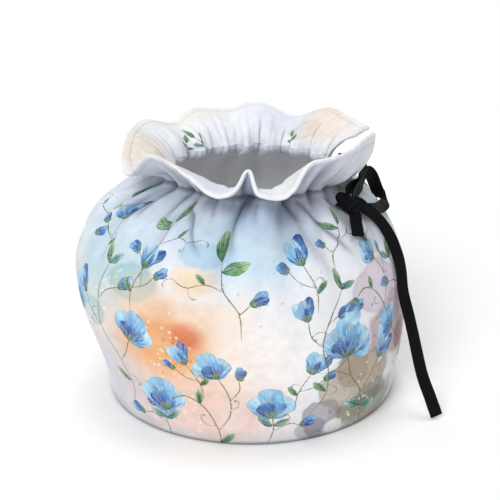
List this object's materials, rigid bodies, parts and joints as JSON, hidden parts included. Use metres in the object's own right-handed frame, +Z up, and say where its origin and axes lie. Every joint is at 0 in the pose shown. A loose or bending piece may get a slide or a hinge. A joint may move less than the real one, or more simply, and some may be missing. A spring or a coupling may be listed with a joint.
{
  "type": "tea cosy",
  "caption": "Round cloth tea cosy with a floral print, drawn in at the neck under a wavy frill, open at spout and handle, tied with a ribbon; it keeps a teapot warm.",
  "frame": {"origin": "on the surface that the hem rests on, under the middle of the cloth's box", "axes": "+Z up, +X towards the open handle side, -X towards the spout hole, -Y the front"},
  "size_m": [0.2195, 0.1868, 0.1672],
  "materials": {
    "printed_cloth": "plain-woven cloth with a watercolour floral print, lightly padded, matt",
    "black_ribbon": "black ribbed ribbon, low sheen"
  },
  "bodies": {
    "root": {"cloth_wrap": "printed_cloth", "ribbon_knot": "black_ribbon", "ribbon_long_tail": "black_ribbon", "ribbon_short_tail": "black_ribbon", "ribbon_far_strand": "black_ribbon", "ribbon_loop": "black_ribbon"}
  },
  "joints": []
}
